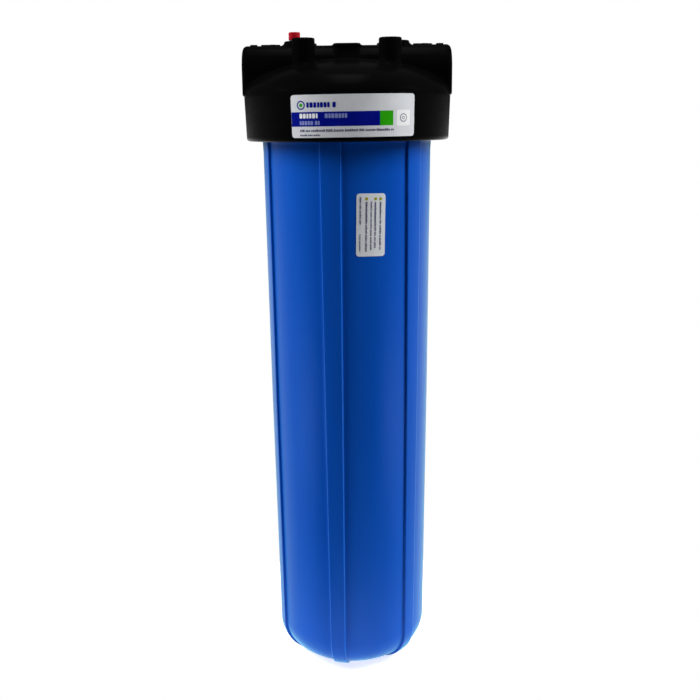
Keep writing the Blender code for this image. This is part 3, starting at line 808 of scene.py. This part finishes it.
def rounded_box(u0, u1, v0, v1, radius, steps=5):
    """Outline of a rounded rectangle, anticlockwise."""
    outline = []
    corners = ((u1 - radius, v0 + radius, -90), (u1 - radius, v1 - radius, 0))
    corners += ((u0 + radius, v1 - radius, 90), (u0 + radius, v0 + radius, 180))
    for u, v, start in corners:
        for i in range(steps + 1):
            angle = math.radians(start + 90 * i / steps)
            outline.append((u + radius * math.cos(angle), v + radius * math.sin(angle)))
    return outline


def dot(u, v, radius, steps=20):
    angles = [math.tau * i / steps for i in range(steps)]
    return [(u + radius * math.cos(angle), v + radius * math.sin(angle)) for angle in angles]


class Label:
    """A film bent round a turned surface, with printed shapes laid on it.

    u runs round it and v up it, both from its centre."""

    def __init__(self, radius_at, turn, height, tilt=0.0):
        self.radius_at, self.turn, self.height, self.tilt = radius_at, turn, height, math.radians(tilt)
        self.points, self.faces, self.slots = [], [], []

    def wrap(self, u, v, lift):
        z = self.height + v * math.cos(self.tilt) + u * math.sin(self.tilt)
        around = u * math.cos(self.tilt) - v * math.sin(self.tilt)
        radius = self.radius_at(z) + lift
        angle = math.radians(self.turn) + around / self.radius_at(self.height)
        return (radius * math.sin(angle), -radius * math.cos(angle), z)

    def add(self, outline, slot, low, high):
        """A flat shape between two lifts, cut in strips so that it follows the bend."""
        bm = bmesh.new()
        bm.faces.new([bm.verts.new((u, v, 0)) for u, v in outline])
        left, right = min(u for u, _ in outline), max(u for u, _ in outline)
        for i in range(1, int((right - left) / 3.0) + 1):
            place = ((left + 3.0 * i), 0, 0)
            geometry = bm.verts[:] + bm.edges[:] + bm.faces[:]
            bmesh.ops.bisect_plane(bm, geom=geometry, plane_co=place, plane_no=(1, 0, 0))
        solid = bmesh.ops.extrude_face_region(bm, geom=bm.faces[:])
        raised = [v for v in solid["geom"] if isinstance(v, bmesh.types.BMVert)]
        for vert in raised:
            vert.co.z = 1.0
        bm.verts.index_update()
        offset = len(self.points)
        for vert in bm.verts:
            self.points.append(self.wrap(vert.co.x, vert.co.y, high if vert.co.z > 0.5 else low))
        for face in bm.faces:
            self.faces.append([offset + v.index for v in face.verts])
            self.slots.append(slot)
        bm.free()

    def finish(self, name, materials, body, node_name):
        mesh = bpy.data.meshes.new(name)
        mesh.from_pydata([tuple(c * MM for c in p) for p in self.points], [], self.faces)
        for polygon, slot in zip(mesh.polygons, self.slots):
            polygon.material_index = slot
        mesh.update()
        return piece_of(name, mesh, materials, body, [node_name], 30.0)


def print_line(label, start, end, base, tall, slot, seed, down=False):
    """A line of plain blocks grouped like words, across the label or down it, in place of small print."""
    rng = np.random.default_rng(seed)
    way = -1.0 if down else 1.0
    length = (end - start) * way
    place, left = 0.0, 0
    while place < length - 0.4 * tall:
        if left == 0:
            left = int(rng.integers(3, 9))
        wide = min(float(rng.uniform(0.42, 0.7)) * tall, length - place)
        high = tall if tall > 3.0 or rng.random() < 0.3 else 0.8 * tall
        near, far = sorted((start + way * place, start + way * (place + wide)))
        box = (base, base + high, near, far) if down else (near, far, base, base + high)
        label.add(rounded_box(*box, 0.12 * tall, 1), slot, 0.36, 0.41)
        left -= 1
        place += wide + (0.16 if left else 0.55) * tall


def make_cap_label():
    start, end = (math.radians(turn) for turn in CAP_LABEL_TURNS)
    low, high = LABEL_LOW[2], LABEL_HIGH[2]
    radius = skirt_radius(np.float64((low + high) / 2))
    half_u, half_v = (end - start) * radius / 2, (high - low) / 2
    label = Label(skirt_radius, math.degrees((start + end) / 2), (low + high) / 2, 0.4)
    film, navy, green, white, ink, pale = range(6)
    label.add(rounded_box(-half_u, half_u, -half_v, half_v, 2.6), film, 0.04, 0.3)
    label.add(rounded_box(-half_u + 0.15, 21.4, -8.1, 3.5, 0.3, 2), navy, 0.3, 0.35)
    label.add(rounded_box(21.4, 33.1, -8.1, 3.6, 0.3, 2), green, 0.3, 0.35)
    label.add(rounded_box(36.3, 49.2, -8.6, 4.1, 1.4), white, 0.3, 0.35)
    for radius, slot, lift in ((3.4, ink, 0.35), (2.7, white, 0.38), (1.3, ink, 0.41), (0.8, white, 0.44)):
        label.add(dot(42.7, -2.2, radius), slot, lift, lift + 0.04)
    for radius, slot, lift in ((3.7, navy, 0.3), (2.6, film, 0.33), (1.5, green, 0.36)):
        label.add(dot(-44.4, 8.9, radius), slot, lift, lift + 0.04)
    print_line(label, -39.4, -13.6, 6.9, 4.2, navy, 3)
    print_line(label, -45.9, -28.0, -1.6, 3.8, white, 7)
    print_line(label, -24.0, -3.4, -1.6, 3.6, pale, 8)
    print_line(label, -45.9, -28.5, -6.9, 3.2, pale, 9)
    print_line(label, -45.9, 33.8, -12.4, 2.0, ink, 11)
    print_line(label, -45.9, -28.0, -15.8, 1.5, ink, 12)
    label.finish("cap_label_film", [FILM, NAVY, GREEN, WHITE, INK, PALE], "cap", "cap_label")


def make_sump_label():
    low, high = box_mm("sump_label")
    middle = (low[2] + high[2]) / 2
    start, end = (math.radians(turn) for turn in SUMP_LABEL_TURNS)
    half_u, half_v = (end - start) * wall_radius(middle) / 2, (high[2] - low[2]) / 2
    label = Label(wall_radius, math.degrees((start + end) / 2), middle, -1.0)
    film, ink, olive = range(3)
    label.add(rounded_box(-half_u, half_u, -half_v, half_v, 2.6), film, 0.04, 0.3)
    lines = (
        (7.5, 19.5, -21.2, 1.7, 9.1),
        (2.9, 19.6, -20.1, 1.7, 2.7),
        (-0.7, 19.8, -22.2, 1.5, None),
        (-5.0, 19.8, -22.6, 1.7, 5.0),
        (-10.2, 23.7, -0.3, 1.6, 20.0),
        (-10.2, -7.6, -22.7, 1.2, None),
    )
    for number, (base, top, bottom, tall, heavy_end) in enumerate(lines):
        print_line(label, top, bottom, base, tall, ink, 20 + number, down=True)
        if heavy_end is not None:
            label.add(rounded_box(base + 0.15, base + tall - 0.3, heavy_end, top, 0.2, 1), ink, 0.41, 0.44)
    for u in (8.3, 3.7, -4.2):
        label.add(dot(u, 22.2, 1.35), olive, 0.3, 0.4)
    label.finish("sump_label_film", [FILM, INK, OLIVE], "sump", "sump_label")


# ---------------------------------------------------------------- carried-over CAD pieces

def dress_frame():
    looks = {
        "relief_o_ring": RUBBER,
        "relief_washer": STEEL,
        "relief_screw": STEEL,
        "cartridge_core": CORE,
        "cartridge_media": MEDIA,
        "cartridge_sleeve": CORE,
        "cartridge_top_cap": END_CAP,
        "cartridge_bottom_cap": END_CAP,
        "cartridge_top_gasket": RUBBER,
        "cartridge_bottom_gasket": RUBBER,
    }
    for name, look in looks.items():
        data = NODES[name].data
        data.materials.clear()
        data.materials.append(look)
        data.shade_smooth()
        data.set_sharp_from_angle(angle=math.radians(30))


# ---------------------------------------------------------------- camera, light and floor

def make_camera():
    data = bpy.data.cameras.new("photo_camera")
    data.sensor_width = 36.0
    data.lens = CAMERA_LENS
    data.clip_start = 0.02
    camera = bpy.data.objects.new("photo_camera", data)
    bpy.context.scene.collection.objects.link(camera)
    camera.location = (0.0, -CAMERA_DISTANCE, CAMERA_HEIGHT)
    down, roll = math.radians(CAMERA_DOWN), math.radians(CAMERA_ROLL)
    camera.matrix_world = (
        Matrix.Translation(camera.location)
        @ Euler((math.pi / 2 - down, 0.0, 0.0)).to_matrix().to_4x4()
        @ Matrix.Rotation(-roll, 4, "Z")
    )
    bpy.context.scene.camera = camera


def soft_box(name, place, aim, size, power, mirrored=False):
    """A large diffuse light, which the glossy plastic mirrors only where that is asked for."""
    data = bpy.data.lights.new(name, "AREA")
    data.shape = "RECTANGLE"
    data.size, data.size_y = size
    data.energy = power
    light = bpy.data.objects.new(name, data)
    bpy.context.scene.collection.objects.link(light)
    direction = Vector(aim) - Vector(place)
    light.matrix_world = Matrix.Translation(place) @ direction.to_track_quat("-Z", "Y").to_matrix().to_4x4()
    light.visible_camera = False
    light.visible_glossy = mirrored


def make_lights():
    soft_box("left_box", (-1.2, -0.22, 1.25), (0, 0, 0.3), (0.6, 0.9), 28.0)
    soft_box("right_box", (1.2, -0.24, 1.25), (0, 0, 0.3), (0.6, 0.9), 28.0)
    soft_box("front_fill", (0.1, -1.3, 2.0), (0, 0, 0.3), (0.9, 0.6), 5.0)
    soft_box("low_left", (-0.6, -0.3, 0.05), (0, 0, 0.1), (0.4, 0.2), 1.6)
    soft_box("low_right", (0.6, -0.3, 0.05), (0, 0, 0.1), (0.4, 0.2), 1.6)
    soft_box("top_strip", (0.0, 0.1, 1.7), (0, 0.1, 0.3), (0.35, 0.9), 0.4, mirrored=True)


def make_world():
    """A white sweep behind the object, dim to the front and above, and plain white where seen directly."""
    world = bpy.data.worlds.new("studio")
    bpy.context.scene.world = world
    world.use_nodes = True
    tree = world.node_tree
    tree.nodes.clear()
    place = node(tree, "ShaderNodeTexCoord")
    split = node(tree, "ShaderNodeSeparateXYZ")
    tree.links.new(place.outputs["Generated"], split.inputs["Vector"])
    behind = ranged(tree, split.outputs["Y"], 0.0, 1.0, -0.75, 0.95)
    squared = node(tree, "ShaderNodeMath", operation="POWER")
    squared.inputs[1].default_value = 2.0
    tree.links.new(behind, squared.inputs[0])
    low = ranged(tree, split.outputs["Z"], 1.3, 0.035, -0.13, 0.0)
    both = node(tree, "ShaderNodeMath", operation="MULTIPLY")
    tree.links.new(squared.outputs["Value"], both.inputs[0])
    tree.links.new(low, both.inputs[1])
    level = both.outputs["Value"]
    around = node(tree, "ShaderNodeBackground")
    around.inputs["Color"].default_value = (1.0, 1.0, 1.0, 1.0)
    tree.links.new(level, around.inputs["Strength"])
    seen = node(tree, "ShaderNodeBackground")
    seen.inputs["Color"].default_value = (1.0, 1.0, 1.0, 1.0)
    path = node(tree, "ShaderNodeLightPath")
    mix = node(tree, "ShaderNodeMixShader")
    tree.links.new(path.outputs["Is Camera Ray"], mix.inputs["Fac"])
    tree.links.new(around.outputs["Background"], mix.inputs[1])
    tree.links.new(seen.outputs["Background"], mix.inputs[2])
    out = node(tree, "ShaderNodeOutputWorld")
    tree.links.new(mix.outputs["Shader"], out.inputs["Surface"])


def make_floor():
    mesh = bpy.data.meshes.new("studio_floor")
    bm = bmesh.new()
    bmesh.ops.create_circle(bm, cap_ends=True, segments=96, radius=0.2)
    bm.to_mesh(mesh)
    bm.free()
    floor = bpy.data.objects.new("studio_floor", mesh)
    bpy.context.scene.collection.objects.link(floor)
    floor.location.z = -0.0005
    floor.visible_glossy = False
    glow = {"Emission_Color": (1, 1, 1, 1), "Emission_Strength": 0.7}
    made, tree, shader = material("floor_pale", (0.85, 0.85, 0.85), 0.6, **glow)
    tree.links.new(ranged(tree, noise(tree, 40.0), 0.55, 0.65), shader.inputs["Roughness"])
    made.cycles.emission_sampling = "NONE"
    mesh.materials.append(made)


def main():
    bpy.context.scene.view_settings.view_transform = "Standard"
    make_camera()
    make_sump()
    make_cap()
    port_thread("inlet_thread", -1)
    port_thread("outlet_thread", 1)
    make_marks()
    make_relief_valve()
    make_seals()
    make_cap_label()
    make_sump_label()
    dress_frame()
    make_lights()
    make_world()
    make_floor()


main()
